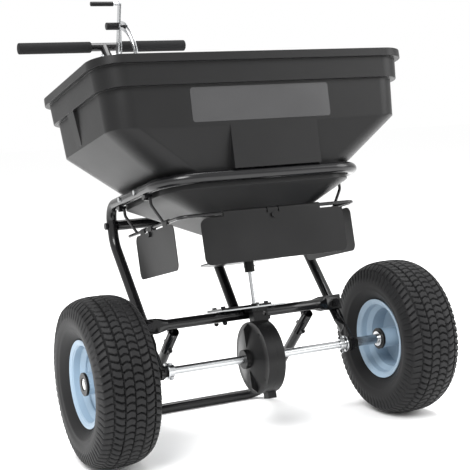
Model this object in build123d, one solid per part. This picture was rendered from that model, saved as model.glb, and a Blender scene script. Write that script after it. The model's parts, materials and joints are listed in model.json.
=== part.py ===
from build123d import *
import os
from math import acos, asin, atan2, cos, degrees, hypot, pi, radians, sin, tan

os.makedirs("parts", exist_ok=True)

# Garden broadcast spreader, millimetres.
# Everything is modelled in the machine's own frame: the axle runs along X through the
# origin, +Y points back to the operator and +Z is square to the hopper's rim. The whole
# machine is tipped back onto its stand at the end, as it stands when it is parked.

# ---------------------------------------------------------------- driving dimensions
# wheels and axle
WHEEL_R = 165.0
TYRE_W = 120.0
TRACK = 666.0
SEAT_R = 76.0
FLANGE_R = 85.0
FLANGE_HALF = 44.0
RIM_T = 2.5
HUB_R = 21.0
VALVE_AT = 62.0
AXLE_D = 16.0
RUN_GAP = 0.05
LEG_BUSH_D = 23.0
SPACER_D = 20.0

# frame of bent steel tube
TUBE_D = 22.0
TUBE_WALL = 1.6
LEG_X = 218.0
KNEE_Y, KNEE_Z = 168.0, 276.0
KNEE_R = 60.0
TOP_Z = 356.0
TOP_FRONT_Y = -160.0
REAR_BEND_R = 36.0
FRONT_BEND_R = 75.0
FLAT_T = 6.0
FLAT_H = 32.0
BAR_Z = 91.0
BAR_BOW = 6.0
BOLT_D = 8.0
SMALL_BOLT_D = 6.0
HOLE_GAP = 0.2
TOUCH = 0.3

# parking stand
STAND_X = 157.0
STAND_TOP_Y, STAND_TOP_Z = 52.0, 76.0
STAND_Y, STAND_Z = 318.0, -93.0
STAND_BEND_R = 45.0
STAND_BOLT_AT = 52.0
STAND_SEAM = 68.0

# handle
BAR_Y, BAR_UP = 662.0, 839.0
BAR_LEN = 456.0
STEM_FOOT_Y = 88.0
STEM_LOW_Y, STEM_LOW_Z = 205.0, 338.0
STEM_HIGH_Y, STEM_HIGH_Z = 590.0, 727.0
STEM_BEND_R = 120.0
STEM_TOP_R = 90.0
JOIN_AT = 90.0
JOIN_LAP = 70.0
GRIP_D = 29.0
GRIP_LEN = 193.0
GRIP_END = 2.0

# hopper
RIM_HALF_X = 341.0
RIM_FRONT, RIM_REAR = -202.0, 187.0
RIM_TOP = 587.0
RIM_LIP_H = 16.0
RIM_STEP = 8.0
CORNER_R = 60.0
BAND_Z = 530.0
BAND_STEP = 9.0
TIER_Z = 456.0
DRAFT = 4.0
NECK_REAR = 154.0
LIP_Z = 337.0
OUTLET_Z = 262.0
OUTLET_HALF_X = 62.0
OUTLET_HALF_Y = 56.0
WALL = 3.0
BULGE_LEFT, BULGE_RIGHT = -78.0, 112.0
PILASTER_Y = 22.0
HOPPER_BOLT_YS = (-20.0, 70.0)

# drive line
SHAFT_X = 6.0
SHAFT_D = 10.0
SHAFT_LOW, SHAFT_TOP = 27.0, 290.0
PIN_D = 5.0
IMPELLER_PIN_D = 4.0
NECK_SCREW_Y = 14.5
MODULE = 2.0
PINION_TEETH = 10
GEAR_TEETH = 48
GEAR_FACE = 8.0
BACKLASH = 0.6
BOX_R = 74.0
BOX_LEFT, BOX_RIGHT = -15.5, 22.0
BOX_WALL = 2.5
BOX_BOSS_D = 39.0
BOX_BOSS_X = -37.0
BOX_CONE_X = -27.0
IMPELLER_R = 100.0
IMPELLER_Z = 199.0
IMPELLER_T = 3.0
VANE_H = 15.0
VANES = 4

# shaft plate on the crossbars
PLATE_HALF_X = 66.0
PLATE_FRONT, PLATE_REAR = -22.0, 92.0
PLATE_T = 3.0
FOOT_T = 5.0
FOOT_HALF_X = 58.0
FOOT_BOLT_X = 50.0
SEAT_CUT = 1.2

# spread deflectors
WIRE_D = 7.0
WIRE_Z = 286.0
WIRE_REAR_Y = 140.0
SIDE_X = 192.0
FRONT_WIRE_Y = -144.0
FRONT_HALF = 156.0
SIDE_FRONT_Y, SIDE_REAR_Y = -112.0, 94.0
SHEET_T = 1.8
DROP = 90.0
HANGER_YS = (-46.0, 104.0)
HANGER_SET = 11.0
HOOK_W = 22.0
HOOK_AT = 62.0
CLAMP_AT = 21.0
CLAMP_DROP = 12.0
CLAMP_BOLT_D = 6.0
HEM_AT, HEM_W = 60.0, 92.0

# flow control
PIVOT_Y, PIVOT_Z = 636.0, 766.0
LEVER_GAP = 5.0
LEVER_T = 4.0
LEVER_W = 16.0
LEVER_LEN = 175.0
LEVER_REST = 63.0
QUADRANT_R = 118.0
QUADRANT_W = 24.0
QUADRANT_T = 2.5
CRANK_R = 32.0
CRANK_REST = 301.0
STRAP_SPREAD = 41.0
QUADRANT_FROM, QUADRANT_TO = 6.0, 76.0
CRANK_PIN_D = 6.0
GATE_T = 2.0
GUIDE_T = 2.0
GATE_GAP = 0.3
GATE_HALF_X = 36.0
GATE_TRAVEL = 28.0
SLOT_SIDE, SLOT_END = 3.0, 13.0
LUG_Y = 150.0
PORT_R = 10.0
PORT_X = 21.0
PORT_Y = 8.0
ROD_D = 7.0
EYE_T = 6.0
EYE_D = 14.0
GATE_PIN_D = 5.0
KNOB_D = 19.0
KNOB_LEN = 32.0

# ---------------------------------------------------------------- worked-out values
TILT = degrees(asin((WHEEL_R - TUBE_D / 2) / hypot(STAND_Y, STAND_Z)) - atan2(-STAND_Z, STAND_Y))
LEAN = atan2(KNEE_Y, KNEE_Z)
LEG_DIR = Vector(0, sin(LEAN), cos(LEAN))
BAR_Y_AT_LEG = BAR_Z * tan(LEAN)
BAR_OFFSET = TUBE_D / 2 / cos(LEAN) + FLAT_T / 2
PLATE_Z = BAR_Z + TUBE_D / 2 - SEAT_CUT
FOOT_Z = PLATE_Z + PLATE_T
FRONT_BAR_Y = BAR_Y_AT_LEG - BAR_OFFSET - BAR_BOW
REAR_BAR_Y = BAR_Y_AT_LEG + BAR_OFFSET + BAR_BOW
WHEEL_X = TRACK / 2
HUB_FACE = WHEEL_X - FLANGE_HALF
BUSH_IN, BUSH_OUT = LEG_X - TUBE_D / 2, LEG_X + 14.0
AXLE_HALF = WHEEL_X + FLANGE_HALF - 0.5
STAND_DIR = (Vector(0, STAND_Y, STAND_Z) - Vector(0, STAND_TOP_Y, STAND_TOP_Z)).normalized()
STAND_UP = Vector(0, -STAND_DIR.Z, STAND_DIR.Y)
NECK_R = FRONT_BEND_R - TUBE_D / 2 - TOUCH
NECK_HALF_X = LEG_X - TUBE_D / 2 - TOUCH
NECK_FRONT = TOP_FRONT_Y + TUBE_D / 2 + TOUCH
NECK_Z = TOP_Z + TUBE_D / 2 + TOUCH
PINION_R = MODULE * PINION_TEETH / 2
GEAR_R = MODULE * GEAR_TEETH / 2
PITCH_X = SHAFT_X - PINION_R
GEAR_ROOT_X = PITCH_X - 1.25 * MODULE
GEAR_BACK_X = GEAR_ROOT_X - 4.0
BOX_SPLIT = (BOX_LEFT + BOX_RIGHT) / 2
STEM_LOW = Vector(0, STEM_LOW_Y, STEM_LOW_Z)
STEM_HIGH = Vector(0, STEM_HIGH_Y, STEM_HIGH_Z)
BAR_CENTRE = Vector(0, BAR_Y, BAR_UP)
STEM_MID_DIR = (STEM_HIGH - STEM_LOW).normalized()
STEM_FOOT = Vector(0, STEM_FOOT_Y, FOOT_Z + FOOT_T - 0.5)
STEM_LOW_DIR = (STEM_LOW - STEM_FOOT).normalized()
BRACE_RISE = (TUBE_D + TOUCH + (KNEE_Y - STEM_FOOT_Y) * STEM_LOW_DIR.Z) / STEM_LOW_DIR.Y
BRACE = Vector(0, KNEE_Y, STEM_FOOT.Z + BRACE_RISE)
BRACE_OUT = Vector(0, STEM_LOW_DIR.Z, -STEM_LOW_DIR.Y)
STEM_TOP_DIR = (BAR_CENTRE - STEM_HIGH).normalized()
PIVOT = Vector(0, PIVOT_Y, PIVOT_Z)
CRANK_PIN = PIVOT + Vector(0, cos(radians(CRANK_REST)), sin(radians(CRANK_REST))) * CRANK_R
STRAP_MID = STEM_HIGH + STEM_TOP_DIR * (PIVOT - STEM_HIGH).dot(STEM_TOP_DIR)
STRAP_BOLTS = [STRAP_MID - STEM_TOP_DIR * STRAP_SPREAD, STRAP_MID + STEM_TOP_DIR * STRAP_SPREAD]
LEVER_X = TUBE_D / 2 + LEVER_GAP + LEVER_T / 2
ROD_X = LEVER_X + LEVER_T / 2 + 0.8 + EYE_T / 2
QUADRANT_X = ROD_X + EYE_T / 2 + 2.5 + QUADRANT_T / 2
KNOB_AT = PIVOT + Vector(0, -cos(radians(LEVER_REST)), sin(radians(LEVER_REST))) * QUADRANT_R
CLAMP_OUT = WIRE_D / 2 + 2 * RUN_GAP + SHEET_T
SIDE_MID_Y = (SIDE_FRONT_Y + SIDE_REAR_Y) / 2
TUBE_UNDER = TOP_Z - TUBE_D / 2
SPIGOT_D = TUBE_D - 2 * TUBE_WALL - HOLE_GAP
FOOT_FRONT = FRONT_BAR_Y - 14
PLATE_BOLTS = [(x, y) for x in (-FOOT_BOLT_X, FOOT_BOLT_X) for y in (FRONT_BAR_Y, REAR_BAR_Y)]
GATE_Z = OUTLET_Z - WALL - GUIDE_T - GATE_GAP - GATE_T / 2
LUG = Vector(0, LUG_Y, GATE_Z - 9)
COLLAR_X = BUSH_IN - 10.5
GEAR_PIN_X = BOX_SPLIT + 2.0
JOIN_BOLTS = (JOIN_AT + 18, JOIN_AT + JOIN_LAP - 18)
GUIDE_BOLTS = [(SHAFT_X + sx * 46, sy * 38) for sx in (-1, 1) for sy in (-1, 1)]
POSTS = [((BOX_R - 9) * cos(radians(a)), (BOX_R - 9) * sin(radians(a))) for a in (45, 135, 225, 315)]


# ---------------------------------------------------------------- helpers
def vec(x, y, z):
    return Vector(x, y, z)


def at_x(point, x):
    return Vector(x, point.Y, point.Z)


def tube(points, radii, d=TUBE_D, wall=TUBE_WALL):
    """Round tube along straight runs joined by bends; wall None makes a solid bar."""
    path = FilletPolyline(*points, radius=radii) if radii else Polyline(*points)
    start = Plane(origin=path @ 0, z_dir=path % 0)
    body = sweep(start * Circle(d / 2), path=path)
    if wall:
        body -= sweep(start * Circle(d / 2 - wall), path=path)
    return body


def rod(a, b, d, bore=0.0):
    """Cylinder from a to b, with an optional bore."""
    axis = b - a
    low = (Align.CENTER, Align.CENTER, Align.MIN)
    shape = Cylinder(d / 2, axis.length, align=low)
    if bore:
        shape -= Cylinder(bore / 2, axis.length, align=low)
    return Plane(origin=a, z_dir=axis) * shape


def rod_x(x0, x1, d, bore=0.0, y=0.0, z=0.0):
    return rod(vec(x0, y, z), vec(x1, y, z), d, bore)


def block(x0, x1, y0, y1, z0, z1):
    return Pos((x0 + x1) / 2, (y0 + y1) / 2, (z0 + z1) / 2) * Box(x1 - x0, y1 - y0, z1 - z0)


def flat_end(a, b, across, length, d=TUBE_D):
    """Tube end pressed flat from a to b and on for a length; across is its thin direction."""
    along = (b - a).normalized()
    flat = RectangleRounded(FLAT_T, FLAT_H, FLAT_T * 0.45)
    first = Plane(origin=a, z_dir=along, x_dir=across)
    second = Plane(origin=b, z_dir=along, x_dir=across)
    return loft([first * Circle(d / 2), second * flat]) + extrude(second * flat, length)


def bolt(seat, out, d, grip, nut=True):
    """Hexagon bolt: head on the seat, shank through the grip, and a nut at the far side."""
    out = out.normalized()
    near = Plane(origin=seat, z_dir=out)
    far = Plane(origin=seat - out * grip, z_dir=-out)
    tail = 1.1 * d if nut else 0
    head = extrude(near * RegularPolygon(0.92 * d, 6), 0.65 * d)
    solids = [head + rod(seat - out * (grip + tail), seat + out * 0.1, d)]
    if nut:
        hexagon = extrude(far * RegularPolygon(0.92 * d, 6), 0.8 * d)
        solids.append(hexagon - rod(seat - out * (grip + 2 * d), seat, d))
    return solids


def hole(a, b, d):
    return rod(a, b, d + HOLE_GAP)


def mirror_x(shape):
    return mirror(shape, about=Plane.YZ)


def turned(points, x_mid, side):
    """Turn an outline of (radius, offset outboard) points about the axle."""
    outline = [vec(x_mid + side * w, 0, r) for r, w in points]
    return revolve(make_face(Polyline(*outline, close=True)), axis=Axis.X)


def ring(half_x, front, rear, r, z):
    sketch = RectangleRounded(2 * half_x, rear - front, r)
    return Plane(origin=(0, (front + rear) / 2, z)) * sketch


# ---------------------------------------------------------------- wheels
def tyre(side):
    """Pneumatic tyre: beads on the rim seat, bulged walls and a round crown."""
    bead = FLANGE_HALF - RIM_T - 0.3
    half = TYRE_W / 2
    wide_r = 0.74 * WHEEL_R
    neck = (bead, FLANGE_R + 2)
    foot = (half - 9, FLANGE_R + 13)
    shoulder = (half - 5, WHEEL_R - 14)
    crown = (0, WHEEL_R)
    inner = [(0, WHEEL_R - 10), (half - 20, WHEEL_R - 17), (half - 7, wide_r), (bead - 9, FLANGE_R + 4),
             (bead - 9, SEAT_R)]
    outline = Polyline((bead, SEAT_R), neck, foot)
    outline += ThreePointArc(foot, (half, wide_r), shoulder)
    outline += ThreePointArc(shoulder, (half * 0.6, WHEEL_R - 3.6), crown)
    outline += Polyline(crown, *inner, (bead, SEAT_R))
    half_face = Plane.XZ * make_face(outline)
    whole = half_face + mirror_x(half_face)
    return Pos(side * WHEEL_X, 0, 0) * revolve(whole, axis=Axis.X)


def rim(side):
    """Welded steel rim: barrel with two flanges, a drop centre, a dished disc and a hub tube."""
    x = side * WHEEL_X
    t = RIM_T
    well = SEAT_R - 10
    outer = [(FLANGE_R, FLANGE_HALF), (FLANGE_R, FLANGE_HALF - t), (SEAT_R - 0.2, FLANGE_HALF - t),
             (SEAT_R - 0.6, FLANGE_HALF - 17), (well, FLANGE_HALF - 24)]
    under = [(FLANGE_R - t, FLANGE_HALF), (SEAT_R - t, FLANGE_HALF - t - 2),
             (SEAT_R - t - 0.6, FLANGE_HALF - 18), (well - t, FLANGE_HALF - 26)]
    outline = outer + [(r, -w) for r, w in reversed(outer)]
    outline += [(r, -w) for r, w in under] + list(reversed(under))
    disc = [(well - t + 1, 14), (well - t + 1, 14 - t), (HUB_R - 1, 26 - t), (HUB_R - 1, 26)]
    hub = rod_x(x - FLANGE_HALF + 5, x + FLANGE_HALF - 5, 2 * HUB_R, 2 * (HUB_R - t))
    body = turned(outline, x, 1) + turned(disc, x, side) + hub
    body -= at_valve(side, Cylinder(4.0 + HOLE_GAP / 2, 24))
    if side < 0:
        body -= rod(vec(x, 0, -HUB_R - 1), vec(x, 0, HUB_R + 1), PIN_D + 0.1)
    return body


def at_valve(side, shape):
    """Puts a shape on the barrel's outboard half with its Z pointing to the hub."""
    seat = Plane(origin=(side * (WHEEL_X + 26), 0, SEAT_R), z_dir=(0, 0, -1))
    return Rot(X=VALVE_AT) * (seat * shape)


def valve(side):
    low = (Align.CENTER, Align.CENTER, Align.MIN)
    foot = Pos(0, 0, 14.0) * Cylinder(6, 1.6, align=low)
    stem = Pos(0, 0, -2) * Cylinder(4, 30, align=low)
    cap = Pos(0, 0, 28) * Cylinder(4.8, 9, align=low)
    return at_valve(side, foot + stem + cap)


def hub_bush(side, out):
    """Flanged plastic bush in one end of a hub tube, recessed for the retaining ring."""
    x = side * WHEEL_X
    s = side * out
    bore = AXLE_D + 2 * RUN_GAP
    flange = rod_x(x + s * (FLANGE_HALF - 5), x + s * FLANGE_HALF, 2 * HUB_R + 3, bore)
    sleeve = rod_x(x + s * (FLANGE_HALF - 27), x + s * (FLANGE_HALF - 5), 2 * (HUB_R - RIM_T), bore)
    if out > 0:
        flange -= rod_x(x + s * (FLANGE_HALF - 3.2), x + s * (FLANGE_HALF + 1), AXLE_D + 9)
    return flange + sleeve


def retaining_ring(side):
    """Ring in a groove at the axle end, in the recess of the outer bush."""
    x = side * (WHEEL_X + FLANGE_HALF - 2.8)
    return rod_x(x, x + side * 1.5, AXLE_D + 6, AXLE_D - 1.6)


def axle():
    body = rod_x(-AXLE_HALF, AXLE_HALF, AXLE_D)
    body = chamfer(body.edges().filter_by(GeomType.CIRCLE), 1.0)
    for side in (-1, 1):
        x = side * (WHEEL_X + FLANGE_HALF - 2.8)
        body -= rod_x(x - side * 0.05, x + side * 1.55, AXLE_D + 2, AXLE_D - 1.6)
        body -= rod(vec(side * COLLAR_X, 0, -20), vec(side * COLLAR_X, 0, 20), SMALL_BOLT_D)
    body -= rod(vec(-WHEEL_X, 0, -20), vec(-WHEEL_X, 0, 20), PIN_D)
    body -= rod(vec(GEAR_PIN_X, 0, -20), vec(GEAR_PIN_X, 0, 20), PIN_D)
    return body


def axle_collar(side):
    """Plated collar beside the leg bush, held by a bolt through the axle."""
    x = side * COLLAR_X
    body = rod_x(x - 6, x + 6, AXLE_D + 8, AXLE_D)
    return body - rod(vec(x, 0, -20), vec(x, 0, 20), SMALL_BOLT_D)


def axle_washer(side):
    x = side * (BUSH_IN - 0.4)
    return rod_x(x - side * 3.0, x, AXLE_D + 18, AXLE_D + 0.6)


def wheel_washer(side):
    x = side * (HUB_FACE - TOUCH)
    return rod_x(x - side * 3, x, AXLE_D + 16, AXLE_D + 0.6)


def wheel_spacer(side):
    return rod_x(side * (BUSH_OUT + TOUCH), side * (HUB_FACE - 2 * TOUCH - 3), SPACER_D, AXLE_D + 0.6)


def leg_bush(side):
    """Flanged bush in the pressed end of a leg; the axle turns in it."""
    bore = AXLE_D + 2 * RUN_GAP
    body = rod_x(side * BUSH_IN, side * BUSH_OUT, LEG_BUSH_D, bore)
    inner = rod_x(side * (LEG_X - FLAT_T / 2), side * (LEG_X - FLAT_T / 2 - 3), LEG_BUSH_D + 6, bore)
    return body + inner


# ---------------------------------------------------------------- frame
def leg_point(distance, side):
    p = LEG_DIR * distance
    return vec(side * LEG_X, p.Y, p.Z)


def main_frame():
    """One tube bent round the hopper and down to the axle, with pressed ends."""
    x = LEG_X
    points = [leg_point(62, -1), vec(-x, KNEE_Y, KNEE_Z), vec(-x, KNEE_Y, TOP_Z), vec(-x, TOP_FRONT_Y, TOP_Z),
              vec(x, TOP_FRONT_Y, TOP_Z), vec(x, KNEE_Y, TOP_Z), vec(x, KNEE_Y, KNEE_Z), leg_point(62, 1)]
    body = tube(points, [KNEE_R, REAR_BEND_R, FRONT_BEND_R, FRONT_BEND_R, REAR_BEND_R, KNEE_R])
    for side in (-1, 1):
        sx = side * x
        body += flat_end(leg_point(62, side), leg_point(34, side), vec(1, 0, 0), 34)
        body += block(sx - 13, sx + 13, BAR_Y_AT_LEG - BAR_OFFSET + FLAT_T / 2,
                      BAR_Y_AT_LEG + BAR_OFFSET - FLAT_T / 2, BAR_Z - 15, BAR_Z + 15)
        body += rod_x(sx - FLAT_T / 2, sx + FLAT_T / 2, FLAT_H)
        for face in (-1, 1):
            near = BAR_Y_AT_LEG + face * (BAR_OFFSET - FLAT_T / 2)
            far = near + face * 30
            body -= block(sx - 16, sx + 16, min(near, far), max(near, far), BAR_Z - FLAT_H / 2 - 1,
                          BAR_Z + FLAT_H / 2 + 1)
        body -= rod_x(sx - 9, sx + 9, LEG_BUSH_D)
        body -= hole(vec(sx, BAR_Y_AT_LEG - 30, BAR_Z), vec(sx, BAR_Y_AT_LEG + 30, BAR_Z), BOLT_D)
        body -= rod_x(sx - 15, sx + 15, BOLT_D + HOLE_GAP, 0, BRACE.Y, BRACE.Z)
        for y in HOPPER_BOLT_YS:
            body -= rod_x(sx - 15, sx + 15, SMALL_BOLT_D + HOLE_GAP, 0, y, TOP_Z)
        for y in HANGER_YS:
            body -= hole(vec(sx, y, TOP_Z - 15), vec(sx, y, TOP_Z + 15), SMALL_BOLT_D)
    return body


def rear_brace():
    """Tube between the legs behind the hopper, with threaded plugs in its ends."""
    half = LEG_X - TUBE_D / 2
    body = rod_x(-half, half, TUBE_D, TUBE_D - 2 * TUBE_WALL, BRACE.Y, BRACE.Z)
    for side in (-1, 1):
        plug = rod_x(side * (half - 22), side * half, TUBE_D - TUBE_WALL, BOLT_D + HOLE_GAP, BRACE.Y, BRACE.Z)
        body += plug
    return body - brace_bolt_hole()


def crossbar(side):
    """Bowed crossbar with pressed ends; side -1 is the front bar and +1 the rear one."""
    y_end = BAR_Y_AT_LEG + side * BAR_OFFSET
    y_mid = y_end + side * BAR_BOW
    x_end = LEG_X - 42
    left = [vec(-x_end, y_end, BAR_Z), vec(-x_end + 15, y_end, BAR_Z), vec(-x_end + 65, y_mid, BAR_Z)]
    right = [vec(-p.X, p.Y, p.Z) for p in reversed(left)]
    body = tube(left + right, [120] * 4)
    for end in (-1, 1):
        a = vec(end * x_end, y_end, BAR_Z)
        b = vec(end * (x_end + 22), y_end, BAR_Z)
        body += flat_end(a, b, vec(0, 1, 0), LEG_X - x_end - 22 + 14)
        body -= hole(vec(end * LEG_X, y_end - 10, BAR_Z), vec(end * LEG_X, y_end + 10, BAR_Z), BOLT_D)
    body -= block(-PLATE_HALF_X - 4, PLATE_HALF_X + 4, y_mid - 20, y_mid + 20, PLATE_Z, PLATE_Z + 20)
    for x in (-FOOT_BOLT_X, FOOT_BOLT_X):
        body -= hole(vec(x, y_mid, BAR_Z - 20), vec(x, y_mid, BAR_Z + 20), SMALL_BOLT_D)
    if side > 0:
        for end in (-1, 1):
            sx = end * STAND_X
            body += block(sx - 5, sx + 5, REAR_BAR_Y - 12, REAR_BAR_Y + 1, BAR_Z - TUBE_D / 2 - 7, BAR_Z - 9)
            body += stand_socket(end)
            body -= rod(stand_point(0, end), stand_point(STAND_SEAM, end), TUBE_D - 2 * TUBE_WALL)
    return body


def stand_point(distance, end):
    return vec(end * STAND_X, STAND_TOP_Y, STAND_TOP_Z) + STAND_DIR * distance


def stand_socket(end):
    """Short tube under the rear crossbar that the stand's swaged end pushes into."""
    body = rod(stand_point(2, end), stand_point(STAND_SEAM, end), TUBE_D, TUBE_D - 2 * TUBE_WALL)
    return body - stand_bolt_hole(end)


def stand_bolt_hole(end):
    mid = stand_point(STAND_BOLT_AT, end)
    return hole(mid - STAND_UP * 16, mid + STAND_UP * 16, SMALL_BOLT_D)


def stand():
    """U-shaped parking stand with swaged ends in the crossbar's two sockets."""
    low = [vec(end * STAND_X, STAND_Y, STAND_Z) for end in (-1, 1)]
    points = [stand_point(STAND_SEAM, -1), low[0], low[1], stand_point(STAND_SEAM, 1)]
    body = tube(points, [STAND_BEND_R, STAND_BEND_R])
    bore = SPIGOT_D - 2 * TUBE_WALL
    for end in (-1, 1):
        body += rod(stand_point(STAND_SEAM, end), stand_point(STAND_SEAM + 6, end), TUBE_D - 1, bore)
        body += rod(stand_point(STAND_BOLT_AT - 30, end), stand_point(STAND_SEAM + 1, end), SPIGOT_D, bore)
        body -= stand_bolt_hole(end)
    return body


# ---------------------------------------------------------------- hopper
def hopper_skin(inset):
    """The hopper's stack of tapering tiers, each inset by a wall for the inner skin."""
    up = inset
    cy_front, cy_rear = RIM_FRONT + inset, RIM_REAR - inset
    half = RIM_HALF_X - inset
    s1, s2 = RIM_STEP, RIM_STEP + DRAFT
    s3, s4 = s2 + BAND_STEP, s2 + BAND_STEP + DRAFT + 1
    top = RIM_TOP + (1 if inset else 0)

    def inner(step, z, r):
        return ring(half - step, cy_front + step, cy_rear - step, max(r - inset, 5), z)

    lip = RIM_TOP - RIM_LIP_H
    neck = ring(NECK_HALF_X - inset, NECK_FRONT + inset, NECK_REAR - inset, NECK_R - inset, NECK_Z)
    parts = [loft([inner(s2, BAND_Z + up, CORNER_R - 6), inner(s1, top, CORNER_R - 4)]),
             loft([inner(s4, TIER_Z, CORNER_R - 10), inner(s3, BAND_Z + up, CORNER_R - 8)]),
             loft([neck, inner(s4, TIER_Z, CORNER_R - 10)])]
    if not inset:
        parts.append(extrude(inner(0, lip, CORNER_R), RIM_LIP_H))
    parts.append(extrude(neck, -(NECK_Z - LIP_Z)))
    low = ring(NECK_HALF_X - inset, NECK_FRONT + inset, NECK_REAR - inset, NECK_R - inset, LIP_Z)
    outlet = Plane(origin=(SHAFT_X, 0, OUTLET_Z - WALL + inset)) * RectangleRounded(
        2 * (OUTLET_HALF_X - inset), 2 * (OUTLET_HALF_Y - inset), 12)
    parts.append(loft([outlet, low]))
    return parts


def bulge(inset):
    """Front panel that carries the middle tier straight down onto the frame tube."""
    front = RIM_FRONT + RIM_STEP + DRAFT + BAND_STEP + DRAFT + 1 + inset
    left, right = BULGE_LEFT + inset, BULGE_RIGHT - inset
    low = NECK_Z + inset
    profile = [vec(0, front, TIER_Z + 12), vec(0, front + 5, low), vec(0, front + 70, low),
               vec(0, front + 70, TIER_Z + 12)]
    face = make_face(Polyline(*profile, close=True))
    body = Pos(left, 0, 0) * extrude(face, right - left, dir=(1, 0, 0))
    cut_high = block(-400, 400, -400, 400, TIER_Z + 0.5, TIER_Z + 200)
    return body - cut_high if not inset else body


def side_pilaster():
    """Tapered box rib moulded on each end wall between the band and the middle tier."""
    step = RIM_STEP + DRAFT + BAND_STEP
    x = RIM_HALF_X - step
    low = Plane(origin=(x - 9, PILASTER_Y, TIER_Z + 6)) * Rectangle(10, 26)
    high = Plane(origin=(x - 5 + 6, PILASTER_Y, BAND_Z + 1)) * Rectangle(12, 40)
    return loft([low, high])


def port(x, y, z):
    return rod(vec(x, y, z - 6), vec(x, y, z + 6), 2 * PORT_R)


def hopper():
    outer = hopper_skin(0)
    body = outer[0]
    for piece in outer[1:]:
        body += piece
    body += bulge(0)
    for rib in (side_pilaster(), mirror_x(side_pilaster())):
        body += rib
    for piece in hopper_skin(WALL):
        body -= piece
    body -= bulge(WALL)
    for side in (-1, 1):
        body -= port(SHAFT_X + side * PORT_X, PORT_Y, OUTLET_Z)
        for y in HOPPER_BOLT_YS:
            body -= rod_x(side * (LEG_X - 30), side * LEG_X, SMALL_BOLT_D + HOLE_GAP, 0, y, TOP_Z)
    body -= rod(vec(SHAFT_X, 0, OUTLET_Z - 10), vec(SHAFT_X, 0, OUTLET_Z + 10), SHAFT_D + 3)
    for x, y in GUIDE_BOLTS:
        body -= hole(vec(x, y, OUTLET_Z - 8), vec(x, y, OUTLET_Z + 8), 5)
    return body


# ---------------------------------------------------------------- flow gate
def gate_guide():
    """Pressed guide under the outlet: a plate with two rails that hold the gate."""
    top = OUTLET_Z - WALL
    low = GATE_Z - GATE_T / 2 - GATE_GAP
    x = SHAFT_X
    body = block(x - 54, x + 54, -50, 50, top - GUIDE_T, top)
    for side in (-1, 1):
        a, b = x + side * (GATE_HALF_X + 0.4), x + side * (GATE_HALF_X + 3.4)
        c = x + side * (GATE_HALF_X - 5)
        body += block(min(a, b), max(a, b), -50, 50, low - 2, top - GUIDE_T)
        body += block(min(b, c), max(b, c), -50, 50, low - 2, low)
        body -= port(x + side * PORT_X, PORT_Y, top)
    body -= rod(vec(x, 0, top - 5), vec(x, 0, top + 5), SHAFT_D + 3)
    for bx, by in GUIDE_BOLTS:
        body -= hole(vec(bx, by, top - 8), vec(bx, by, top + 8), 5)
    return body


def flow_gate():
    """Sliding gate: two ports, a slot round the shaft, and a tail with a lug for the rod."""
    x = SHAFT_X
    z0, z1 = GATE_Z - GATE_T / 2, GATE_Z + GATE_T / 2
    lug_x = ROD_X - EYE_T / 2 - 0.6
    body = block(x - GATE_HALF_X, x + GATE_HALF_X, -46, 48, z0, z1)
    body += block(lug_x - 8, lug_x, 40, LUG_Y + 10, z0, z1)
    body += block(lug_x - 2, lug_x, LUG_Y - 9, LUG_Y + 10, LUG.Z - 8, z1)
    for side in (-1, 1):
        px = x + side * PORT_X
        body -= port(px, PORT_Y - GATE_TRAVEL, z0)
    slot = SHAFT_D / 2 + SLOT_SIDE
    body -= block(x - slot, x + slot, -GATE_TRAVEL - SLOT_END, SLOT_END, z0 - 1, z1 + 1)
    pin = rod_x(lug_x - 1, ROD_X + EYE_T / 2 + 2, GATE_PIN_D, 0, LUG_Y, LUG.Z)
    return body + pin


# ---------------------------------------------------------------- drive line
def crown_gear():
    """Face gear on the axle; its teeth point at +X and mesh with the pinion at the top."""
    r0, r1 = GEAR_R - GEAR_FACE / 2, GEAR_R + GEAR_FACE / 2
    body = rod_x(GEAR_BACK_X, GEAR_ROOT_X + 0.01, 2 * r1 + 2)
    body += rod_x(GEAR_BACK_X, BOX_RIGHT - BOX_WALL - 1.0, AXLE_D + 14)
    thick = pi * MODULE / 2 - BACKLASH
    slope = tan(radians(20))
    tip_x = PITCH_X + 0.85 * MODULE
    half_root = thick / 2 + (PITCH_X - GEAR_ROOT_X) * slope
    half_tip = thick / 2 - (tip_x - PITCH_X) * slope
    tooth = make_face(Polyline(vec(GEAR_ROOT_X - 0.5, -half_root, r0), vec(GEAR_ROOT_X - 0.5, half_root, r0),
                               vec(tip_x, half_tip, r0), vec(tip_x, -half_tip, r0), close=True))
    tooth = extrude(tooth, GEAR_FACE, dir=(0, 0, 1))
    for i in range(GEAR_TEETH):
        body += Rot(X=360 / GEAR_TEETH * (i + 0.5)) * tooth
    body -= rod_x(GEAR_BACK_X - 1, BOX_RIGHT, AXLE_D)
    body -= rod(vec(GEAR_PIN_X, 0, -30), vec(GEAR_PIN_X, 0, 30), PIN_D)
    return body


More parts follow.
